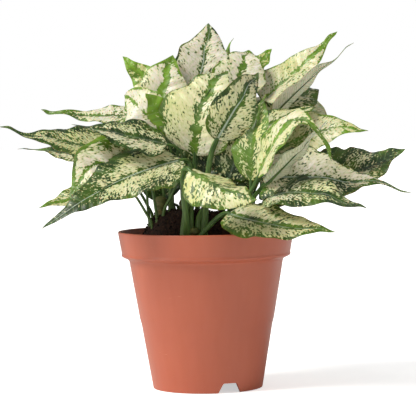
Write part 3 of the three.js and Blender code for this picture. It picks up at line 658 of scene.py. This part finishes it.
# %% Looks by leaf
LOOKS = {
    # name: (green, edge, band, tip, lime, warm, silver, lean)
    "leaf_low_left": (0.26, 0.40, 0.16, 0.50, 0.12, 0.60, 1.0, 0.35),
    "leaf_front_fold": (0.24, 0.24, 0.16, 0.80, 0.35, 0.70, 0.1, 0.0),
    "leaf_centre_broad": (0.10, 0.22, 0.24, 0.94, 0.32, 0.55, 0.0, 0.0),
    "leaf_centre_silver": (0.26, 0.24, 0.18, 0.88, 0.20, 0.55, 1.0, 0.2),
    "leaf_over_rim": (0.28, 0.24, 0.14, 0.70, 0.30, 0.70, 0.6, 0.0),
    "leaf_right_upright": (0.44, 0.30, 0.24, 0.84, 0.50, 0.85, 0.0, 0.0),
    "leaf_right_arch": (0.14, 0.24, 0.20, 0.80, 0.60, 0.55, 0.2, 0.0),
    "leaf_right_pale": (0.04, 0.10, 0.00, 0.86, 0.30, 0.10, 0.0, 0.0),
    "leaf_right_cream": (0.28, 0.26, 0.10, 0.86, 0.15, 0.25, 0.9, 0.8),
    "leaf_right_low": (0.46, 0.30, 0.20, 0.80, 0.10, 0.40, 0.5, 0.0),
    "leaf_right_far": (0.52, 0.34, 0.12, 0.60, 0.10, 0.40, 0.1, 0.2),
    "leaf_right_point": (0.10, 0.22, 0.10, 0.80, 0.65, 0.60, 0.2, 0.0),
    "leaf_horn_pale": (0.05, 0.10, 0.00, 0.62, 0.50, 0.15, 0.0, 0.0),
    "leaf_right_edge": (0.26, 0.34, 0.12, 0.80, 0.25, 0.35, 0.3, 0.2),
    "leaf_left_round": (0.04, 0.48, 0.05, 0.80, 0.45, 0.25, 0.0, 0.0),
    "leaf_shoulder_tip": (0.70, 0.40, 0.40, 0.40, 0.90, 0.90, 0.0, 0.0),
    "leaf_left_dark": (0.34, 0.34, 0.20, 0.66, 0.05, 0.45, 0.2, 0.5),
    "leaf_left_far": (0.26, 0.30, 0.10, 0.66, 0.15, 0.80, 0.1, 0.6),
    "leaf_left_pale": (0.32, 0.20, 0.20, 0.70, 0.60, 0.70, 0.0, 0.0),
    "leaf_left_thin": (0.45, 0.30, 0.20, 0.50, 0.20, 0.30, 0.2, 0.0),
    "leaf_top": (0.04, 0.16, 0.12, 0.84, 0.20, 0.00, 0.9, -0.2),
    "leaf_shoulder_round": (-0.12, 0.22, 0.03, 0.90, 0.70, 0.15, 0.0, 0.0),
    "leaf_peak": (-0.02, 0.20, 0.18, 0.80, 0.80, 0.25, 0.0, 0.0),
    "leaf_top_round": (0.04, 0.18, 0.08, 0.86, 0.45, 0.10, 0.0, 0.0),
    "leaf_horn": (0.04, 0.24, 0.08, 0.66, 0.70, 0.45, 0.1, 0.0),
    "leaf_horn_behind": (0.36, 0.34, 0.16, 0.76, 0.25, 0.35, 0.2, 0.0),
    "leaf_left_wisp": (0.16, 0.20, 0.10, 0.60, 0.40, 0.20, 0.1, 0.0),
    "leaf_spike": (0.36, 0.24, 0.18, 0.60, 1.00, 0.95, 0.0, 0.0),
    "leaf_top_sliver": (0.60, 0.30, 0.30, 0.60, 0.85, 0.90, 0.0, 0.0),
    "leaf_top_lime": (0.34, 0.20, 0.14, 0.70, 0.90, 0.95, 0.0, 0.0),
    "leaf_inner_a": (0.55, 0.34, 0.24, 0.70, 0.05, 0.50, 0.2, 0.0),
    "leaf_inner_b": (0.60, 0.34, 0.24, 0.70, 0.05, 0.50, 0.2, 0.0),
    "leaf_inner_e": (0.62, 0.34, 0.24, 0.70, 0.05, 0.50, 0.1, 0.0),
    "leaf_inner_f": (0.66, 0.34, 0.24, 0.70, 0.02, 0.50, 0.1, 0.0),
    "leaf_inner_g": (0.74, 0.34, 0.24, 0.70, 0.02, 0.50, 0.1, 0.0),
    "leaf_inner_h": (0.72, 0.34, 0.24, 0.70, 0.02, 0.50, 0.1, 0.0),
    "leaf_inner_i": (0.72, 0.34, 0.24, 0.70, 0.02, 0.50, 0.1, 0.0),
    "leaf_inner_c": (0.50, 0.34, 0.24, 0.70, 0.15, 0.50, 0.2, 0.0),
    "leaf_inner_d": (0.55, 0.34, 0.24, 0.70, 0.10, 0.50, 0.2, 0.0),
}
OTHER_LOOKS = [
    (0.18, 0.28, 0.12, 0.78, 0.35, 0.40, 0.5, 0.1),
    (0.34, 0.34, 0.20, 0.66, 0.12, 0.45, 0.2, -0.4),
    (0.08, 0.22, 0.16, 0.84, 0.55, 0.25, 0.1, 0.0),
    (0.26, 0.30, 0.08, 0.70, 0.25, 0.60, 0.8, 0.5),
]
for i, node in enumerate(n for n in leaf_nodes if n not in LOOKS):
    LOOKS[node] = OTHER_LOOKS[i % len(OTHER_LOOKS)]
print("looks", len(LOOKS))

# %% [markdown]
# ## Growing a leaf
# A leaf could be a flat card with a picture on it, but it would look flat from the side. Here
# each one is a thin closed body. The plan's rings are joined by smooth curves, then the upper
# and lower faces are drawn through many cross-sections. The halves rise from the midrib and
# droop at the margin, the margin waves a little, and the flesh lifts between the side veins.
# The stalk is a channelled tube that broadens to a sheath at its foot and runs on under the
# blade as the midrib.

# %% Smooth curves through the plan
def through(knots, values, at):
    """A smooth curve through values at the knots, read at many places."""
    x, v, at = np.asarray(knots, float), np.asarray(values, float), np.asarray(at, float)
    flat = v.ndim == 1
    v = v[:, None] if flat else v
    step = np.diff(x)[:, None]
    rise = np.diff(v, axis=0) / step
    tangent = np.empty_like(v)
    tangent[0], tangent[-1] = rise[0], rise[-1]
    tangent[1:-1] = (rise[:-1] * step[1:] + rise[1:] * step[:-1]) / (step[1:] + step[:-1])
    k = np.clip(np.searchsorted(x, at, side="right") - 1, 0, len(x) - 2)
    h = step[k]
    s = ((at - x[k])[:, None]) / h
    out = ((1 + 2 * s) * (1 - s) ** 2 * v[k] + s * (1 - s) ** 2 * h * tangent[k]
           + s * s * (3 - 2 * s) * v[k + 1] + s * s * (s - 1) * h * tangent[k + 1])
    return out[:, 0] if flat else out


def unit(v):
    return v / np.linalg.norm(v, axis=-1, keepdims=True)


def ease(x):
    x = np.clip(x, 0, 1)
    return x * x * (3 - 2 * x)


def ripples(rng, u, v, size, count=7):
    """Smooth random waves from about -1 to 1 over a blade, size mm from crest to crest."""
    total = np.zeros(np.broadcast(u, v).shape)
    for _ in range(count):
        turn, phase = rng.uniform(0, math.pi), rng.uniform(0, 2 * math.pi)
        pace = 2 * math.pi / (size * rng.uniform(0.7, 1.5))
        total += np.sin(pace * (math.cos(turn) * u + math.sin(turn) * v) + phase)
    return total / math.sqrt(count)


# %% Blade and stalk
# How finely a blade and a stalk are divided.
ALONG, ACROSS, TUBE = 56, 22, 14
# How far the side veins lean to the tip for each mm out, and their spacing in mm.
VEIN_LEAN, VEIN_SPACING = 0.6, 8.0
# Thickness at the midrib and how much of it the margin lacks, waves and lifted veins, all in mm.
FLESH, FLESH_LOST, MARGIN_WAVE, VEIN_LIFT = 0.42, 0.30, 1.4, 0.13
# Sway as a share of the length, twist in radians, unevenness as a share of the width.
SWAY, TWIST, UNEVEN = 0.016, 0.6, 0.028
# Size in mm of the green clouds and of the raggedness of a green edge.
PATCH_SIZE, RAGGED_SIZE = 46, 12
# Green in mm along the margin, at least and with a full share of edge, and along the midrib.
HEM_LEAST, HEM_MORE, BAND_WIDTH = 2.6, 9, 11


def blade_parts(node, rng):
    """The blade's points, faces and what each point is painted with."""
    rings, tip = plans[node]
    blade = rings[STALK_RINGS:]
    middle = [(r[0] + r[3]) / 2 for r in blade] + [tip]
    side = [unit(r[1] - r[5]) for r in blade]
    side.append(side[-1])
    lift = [unit(r[3] - r[0]) for r in blade]
    lift.append(lift[-1])
    half = [float(np.linalg.norm(r[1] - r[5])) / 2 for r in blade] + [0.12]
    rise, droop = [], []
    for r, m, u, h in zip(blade, middle, lift, half):
        edge = float(np.dot((r[1] + r[5]) / 2 - m, u))
        quarter = float(np.dot((r[2] + r[4]) / 2 - m, u)) - 0.39
        rise.append((4 * quarter - edge) / h)
        droop.append((2 * edge - 4 * quarter) / h)
    rise[0], droop[0] = 0.0, 0.0
    rise, droop = rise + [rise[-1]], droop + [droop[-1]]
    knots = BLADE_T + [1.0]
    t = np.linspace(0, 1, ALONG + 1)
    t = 0.35 * t + 0.65 * (0.5 - 0.5 * np.cos(math.pi * t))
    centre, across = through(knots, middle, t), unit(through(knots, side, t))
    up = unit(through(knots, lift, t))
    width = np.maximum(through(knots, half, t), 0.1)
    a, b = through(knots, rise, t), through(knots, droop, t)
    length = np.concatenate([[0], np.cumsum(np.linalg.norm(np.diff(centre, axis=0), axis=1))])
    # The outer half sways a little from side to side and twists, and the tip stays where it is.
    sway = SWAY * length[-1] * ease((t - 0.35) / 0.3) * (1 - ease((t - 0.9) / 0.1))
    beat = 2 * math.pi * t * rng.uniform(1.6, 2.4) + rng.uniform(0, 6.28)
    aside, aloft = sway * np.sin(beat), 0.8 * sway * np.sin(1.3 * beat)
    centre = centre + across * aside[:, None] + up * aloft[:, None]
    twist = rng.uniform(-TWIST, TWIST) * ease((t - 0.4) / 0.6)
    across, up = (across * np.cos(twist)[:, None] + up * np.sin(twist)[:, None],
                  up * np.cos(twist)[:, None] - across * np.sin(twist)[:, None])
    q = np.linspace(-1, 1, ACROSS + 1)
    q = np.sin(q * math.pi / 2) * 0.45 + q * 0.55
    T, Q = t[:, None], q[None, :]
    W, S = width[:, None], np.abs(q)[None, :]
    soft = np.sqrt(S * S + 0.0036) - 0.06
    lag = length[:, None] - VEIN_LEAN * W * S
    wave = [rng.uniform(0, 6.28) for _ in range(4)]
    pace = 2 * math.pi / rng.uniform(30, 44)
    room = np.minimum(W / 14, 1.2) * ease(T / 0.15) * ease((1 - T) / 0.12)
    right, left = (np.sin(pace * length[:, None] + w) for w in wave[:2])
    margin = np.where(Q > 0, right, left)
    frill = margin + 0.4 * np.sin(2.3 * pace * length[:, None] + wave[2] + Q)
    height = W * (a[:, None] * soft + b[:, None] * S * S) + MARGIN_WAVE * room * S ** 3 * frill
    height = height + VEIN_LIFT * room * np.cos(2 * math.pi * lag / VEIN_SPACING) * S * (1 - S) * 4
    # The outline is never quite even from one vein to the next.
    wobble = 1 + UNEVEN * np.sin(0.35 * length[:, None] + wave[2]) * np.ones_like(Q)
    thick = (FLESH - FLESH_LOST * S ** 2) * (1 - 0.5 * T) * np.ones_like(W)
    base = centre[:, None, :] + across[:, None, :] * (W * Q * wobble)[..., None]
    top = base + up[:, None, :] * (height + thick * 0.5 + 0.12)[..., None]
    low = base + up[:, None, :] * (height - thick * 0.5)[..., None]
    points = list(top.reshape(-1, 3)) + list(low[:, 1:-1].reshape(-1, 3))
    row, inner = ACROSS + 1, ACROSS - 1
    first_low = row * (ALONG + 1)

    def under(i, j):
        return i * row + j if j in (0, ACROSS) else first_low + i * inner + j - 1

    faces, kinds = [], []
    for i in range(ALONG):
        for j in range(ACROSS):
            faces.append((i * row + j, i * row + j + 1, (i + 1) * row + j + 1, (i + 1) * row + j))
            faces.append((under(i, j), under(i + 1, j), under(i + 1, j + 1), under(i, j + 1)))
            kinds += [0, 1]
    for i in (0, ALONG):
        for j in range(ACROSS):
            ring = (i * row + j, i * row + j + 1, under(i, j + 1), under(i, j))
            faces.append(tuple(dict.fromkeys(ring)))
            kinds.append(1)
    green, edge, band, tip_from, lime, warm, silver, lean = LOOKS[node]
    patch = ripples(rng, length[:, None] + 0 * Q, W * Q, PATCH_SIZE)
    rough = ripples(rng, length[:, None] + 0 * Q, W * Q, RAGGED_SIZE)
    flank = ease((S - (1 - 1.7 * edge)) / 0.5) * 0.34
    share = green + 0.03 + flank + 0.42 * lean * Q + 0.15 * patch + 0.06 * rough
    # Distances in mm: in from the margin for the hem, out from the midrib for the strip.
    inward = W * (1 - S) - 1.2 * (rough + patch)
    hem = ease((HEM_LEAST + HEM_MORE * (edge - 0.2) - inward) / 2.2) * 0.97
    outward = W * S + 0.9 * rough + 0.7 * patch
    strip = (1 - ease((outward - BAND_WIDTH * band * np.minimum(W / 14, 1.1)) / 1.6)) * 0.95 * (band > 0.02)
    end = ease((T + 0.05 * patch + 0.03 * rough - tip_from) / 0.20) * 0.88
    share = np.clip(np.maximum.reduce([share, hem, strip, end]), 0, 1)
    limeness = np.clip(lime * (0.35 + 0.75 * share) + 0.16 * ripples(rng, lag, W * Q, 26), 0, 1)
    warmth = np.clip(warm + 0.22 * ripples(rng, lag, W * Q, 48) + 0.25 * (S - 0.5) * (T > 0), 0, 1)
    paint = np.stack([share, limeness, warmth], axis=-1)
    none = 0 * share
    place = np.stack([lag + none, W * Q + none, none + rng.uniform(0, 90)], axis=-1)
    shine = np.stack([none + silver, none + T, none + S], axis=-1)
    values = [np.concatenate([v.reshape(-1, 3), v[:, 1:-1].reshape(-1, 3)]) for v in (paint, place, shine)]
    return points, faces, kinds, values


# The stalks at the front are the stoutest, and those round the other canes are thin.
STOUTNESS = {"cane_front": 1.1, "cane_right": 0.85}
THIN = 0.52


def cane_middle(node):
    low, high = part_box(node)
    return np.array((low + high) / 2) / MM


def stalk_parts(node):
    """The stalk's tube, from its foot to under the middle of the blade."""
    rings, _ = plans[node]
    centres = [r.mean(0) for r in rings[:STALK_RINGS + 1]]
    radii = [float(np.linalg.norm(r - r.mean(0), axis=1).mean()) for r in rings[:STALK_RINGS + 1]]
    sides = [unit(r[1] - r[5]) for r in rings[:STALK_RINGS + 1]]
    # The foot grows out of the side of the cane, under the surface of the mix.
    foot = centres[0]
    cane = min(cane_nodes, key=lambda n: float(np.linalg.norm(cane_middle(n)[:2] - foot[:2])))
    inward = cane_middle(cane)[:2] - foot[:2]
    root = np.append(foot[:2] + 0.2 * inward, foot[2] - 15)
    centres, radii, sides = [root] + centres, [radii[0]] + radii, [sides[0]] + sides
    for r, keel in zip(rings[STALK_RINGS + 1:STALK_RINGS + 7], (1.35, 1.05, 0.8, 0.6, 0.42, 0.25)):
        middle, lift = (r[0] + r[3]) / 2, unit(r[3] - r[0])
        centres.append(middle - lift * (keel - 0.1))
        radii.append(keel)
        sides.append(unit(r[1] - r[5]))
    gaps = [float(np.linalg.norm(b - a)) for a, b in zip(centres, centres[1:])]
    steps = [0] + list(np.cumsum(gaps))
    at = np.linspace(0, steps[-1], 52)
    spine, radius = through(steps, centres, at), through(steps, radii, at)
    side = unit(through(steps, sides, at))
    along = unit(np.gradient(spine, axis=0))
    side = unit(side - along * (side * along).sum(1, keepdims=True))
    up = np.cross(side, along)
    share = at / steps[STALK_RINGS + 1]
    radius = radius * STOUTNESS.get(cane, THIN) * (0.95 + 0.30 * np.clip(1 - share / 0.45, 0, 1) ** 1.5)
    points, faces, values = [], [], []
    for k in range(len(at)):
        channel = 0.22 * ease((share[k] - 0.05) / 0.3) * (1 - ease((share[k] - 0.95) / 0.1))
        for j in range(TUBE):
            turn = 2 * math.pi * (j + 0.5) / TUBE
            away = math.atan2(math.sin(turn - math.pi / 2), math.cos(turn - math.pi / 2))
            r = radius[k] * (1 - channel * math.exp(-(away / 0.5) ** 2))
            points.append(spine[k] + side[k] * r * math.cos(turn) * 1.06 + up[k] * r * math.sin(turn))
            values.append((share[k], at[k], j / TUBE))
    for k in range(len(at) - 1):
        for j in range(TUBE):
            a, b = k * TUBE + j, k * TUBE + (j + 1) % TUBE
            faces.append((a, b, b + TUBE, a + TUBE))
    faces += [tuple(range(TUBE))[::-1], tuple(range((len(at) - 1) * TUBE, len(at) * TUBE))]
    return points, faces, np.array(values)


# %% [markdown]
# A living leaf is thin translucent flesh under a waxy skin. The upper face is satin, cream or
# green where the cells hold no or much chlorophyll, with flecks one or two millimetres across
# and wider clouds of them. The lower face shows the same pattern through a greyer, matter
# skin with raised veins. The stalk is smooth, juicy and green, with painted shade darkening
# it towards the blade.

# %% Leaf skin, upper and lower
# Noise cells per mm, along and across the blade.
FLECK, BLOTCH = (0.52, 0.47, 1.0), (0.16, 0.13, 1.0)


def leaf_skin(name, lower):
    made, tree, shader = new_material(
        name, IOR=1.45, Roughness=0.4, Subsurface_Weight=0.22, Subsurface_Scale=0.0009
    )
    paint = add(tree, "ShaderNodeAttribute", attribute_name="leaf_paint")
    place = add(tree, "ShaderNodeAttribute", attribute_name="leaf_place")
    shine = add(tree, "ShaderNodeAttribute", attribute_name="leaf_shine")
    share = add(tree, "ShaderNodeSeparateXYZ", {0: paint.outputs["Vector"]})
    spot = add(tree, "ShaderNodeSeparateXYZ", {0: place.outputs["Vector"]})
    gloss = add(tree, "ShaderNodeSeparateXYZ", {0: shine.outputs["Vector"]})
    fine_place = add(tree, "ShaderNodeVectorMath",
                     {0: place.outputs["Vector"], 1: FLECK}, operation="MULTIPLY")
    fine = add(tree, "ShaderNodeTexNoise", {"Vector": fine_place.outputs[0], "Scale": 1.0, "Detail": 1.5})
    wide_place = add(tree, "ShaderNodeVectorMath",
                     {0: place.outputs["Vector"], 1: BLOTCH}, operation="MULTIPLY")
    wide = add(tree, "ShaderNodeTexNoise", {"Vector": wide_place.outputs[0], "Scale": 1.0, "Detail": 2.0})
    blend = add(tree, "ShaderNodeMix", {0: 0.3, 2: fine.outputs[0], 3: wide.outputs[0]}, data_type="FLOAT")
    sum_up = add(tree, "ShaderNodeMath",
                 {0: blend.outputs[0], 1: 3.4, 2: share.outputs[0]}, operation="MULTIPLY_ADD")
    green_at = ramp(tree, sum_up.outputs[0], 2.12, 2.28)
    near_green = ramp(tree, sum_up.outputs[0], 1.5, 2.2, 0.0, 0.6)
    # Cream runs from warm white to a yellowish cream.
    cream = mixed(tree, share.outputs[2], "#E6DECF", "#CFCE93")
    pale = mixed(tree, near_green.outputs[0], cream.outputs[2], "#B2BE72")
    deep = mixed(tree, wide.outputs[0], "#112606", "#274514")
    leafy = mixed(tree, share.outputs[1], deep.outputs[2], "#749C24")
    variegated = mixed(tree, green_at.outputs[0], pale.outputs[2], leafy.outputs[2])
    # Side veins leave the midrib every 8 mm and show as faint lines.
    beat = add(tree, "ShaderNodeMath",
               {0: spot.outputs[0], 1: 2 * math.pi / VEIN_SPACING}, operation="MULTIPLY")
    vein = add(tree, "ShaderNodeMath", {0: beat.outputs[0]}, operation="COSINE")
    line = ramp(tree, vein.outputs[0], -1.0, -0.88, 1.0, 0.0)
    # The midrib is about 2 mm wide, thins out to the tip, and is silvery on some leaves.
    off = add(tree, "ShaderNodeMath", {0: spot.outputs[1]}, operation="ABSOLUTE")
    spread = add(tree, "ShaderNodeMath",
                 {0: gloss.outputs[1], 1: 0.95, 2: off.outputs[0]}, operation="MULTIPLY_ADD")
    rib = ramp(tree, spread.outputs[0], 0.7, 1.2, 0.85, 0.0)
    if lower:
        hazy = mixed(tree, 0.5, variegated.outputs[2], "#C5CBAC")
        many = add(tree, "ShaderNodeMath", {0: beat.outputs[0], 1: 3.0}, operation="MULTIPLY")
        nerve = add(tree, "ShaderNodeMath", {0: many.outputs[0]}, operation="SINE")
        nerves = ramp(tree, nerve.outputs[0], 0.2, 1.0, 0.0, 0.35)
        lined = mixed(tree, nerves.outputs[0], hazy.outputs[2], "#84935F")
        ribbed = mixed(tree, rib.outputs[0], lined.outputs[2], "#5E6C3A")
        height = nerve
    else:
        faint = add(tree, "ShaderNodeMath", {0: line.outputs[0], 1: 0.22}, operation="MULTIPLY")
        lined = mixed(tree, faint.outputs[0], variegated.outputs[2], "#9DB070")
        silver = add(tree, "ShaderNodeMath", {0: rib.outputs[0], 1: gloss.outputs[0]}, operation="MULTIPLY")
        ribbed = mixed(tree, silver.outputs[0], lined.outputs[2], "#B4C2AE")
        height = vein
    tree.links.new(ribbed.outputs[2], shader.inputs["Base Color"])
    satin = ramp(tree, fine.outputs[0], 0.3, 0.7, 0.5 if lower else 0.33, 0.62 if lower else 0.46)
    tree.links.new(satin.outputs[0], shader.inputs["Roughness"])
    cells = add(tree, "ShaderNodeMath",
                {0: fine.outputs[0], 1: 0.5, 2: height.outputs[0]}, operation="MULTIPLY_ADD")
    relief = add(tree, "ShaderNodeBump", {"Strength": 0.35, "Distance": 0.0004, "Height": cells.outputs[0]})
    tree.links.new(relief.outputs[0], shader.inputs["Normal"])
    return made


upper_skin = leaf_skin("living_leaf_upper_skin", False)
lower_skin = leaf_skin("living_leaf_lower_skin", True)

# %% Stalk skin
stalk_skin, tree, shader = new_material(
    "living_stalk_skin", IOR=1.42, Roughness=0.42, Subsurface_Weight=0.1, Subsurface_Scale=0.0015
)
place = add(tree, "ShaderNodeAttribute", attribute_name="leaf_place")
run = add(tree, "ShaderNodeMapping", {"Vector": place.outputs["Vector"], "Scale": (2.0, 0.09, 14.0)})
fibres = add(tree, "ShaderNodeTexNoise", {"Vector": run.outputs[0], "Scale": 1.0, "Detail": 2.0})
spot = add(tree, "ShaderNodeSeparateXYZ", {0: place.outputs["Vector"]})
# The green darkens up the stalk towards the blade: painted shade from the leaves above.
height = ramp(tree, spot.outputs[0], 0.0, 0.9)
stalk_green_with_painted_shade = mixed(tree, height.outputs[0], "#587238", "#2C4A1A")
fibred = ramp(tree, fibres.outputs[0], 0.42, 0.66, 0.0, 0.55)
striped = mixed(tree, fibred.outputs[0], stalk_green_with_painted_shade.outputs[2], "#6F8F44")
tree.links.new(striped.outputs[2], shader.inputs["Base Color"])
relief = add(tree, "ShaderNodeBump", {"Strength": 0.3, "Distance": 0.0003, "Height": fibres.outputs[0]})
tree.links.new(relief.outputs[0], shader.inputs["Normal"])


# %% Growing every leaf
def grown(node):
    rng = random.Random(node)
    points, faces, kinds, values = blade_parts(node, rng)
    more, tube_faces, tube_place = stalk_parts(node)
    first = len(points)
    tube = [tuple(first + i for i in f) for f in tube_faces]
    leaf = new_piece(node + "_grown", points + more, faces + tube)
    blank = np.zeros((len(more), 3))
    names = ("leaf_paint", "leaf_place", "leaf_shine")
    for name, on_blade, on_stalk in zip(names, values, (blank, tube_place, blank)):
        layer = leaf.data.attributes.new(name, "FLOAT_VECTOR", "POINT")
        layer.data.foreach_set("vector", np.concatenate([on_blade, on_stalk]).astype(np.float32).ravel())
    for skin_of in (upper_skin, lower_skin, stalk_skin):
        leaf.data.materials.append(skin_of)
    leaf.data.polygons.foreach_set("material_index", kinds + [2] * len(tube_faces))
    face_out(leaf, 80)
    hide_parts(node)
    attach(leaf, "root")
    return leaf


leaves = [grown(node) for node in leaf_nodes]
print("leaf faces", sum(len(leaf.data.polygons) for leaf in leaves))

# %% [markdown]
# ## Size
# The grown plant is meant to fill the same box as the frame, so how far it reaches beyond that box on each
# axis is printed.

# %% Boxes
low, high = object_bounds()
for axis, a, b, c, d in zip("XYZ", cad_low, low, high, cad_high):
    print(axis, "beyond the frame by", round((a - b) / MM, 2), round((c - d) / MM, 2), "mm")
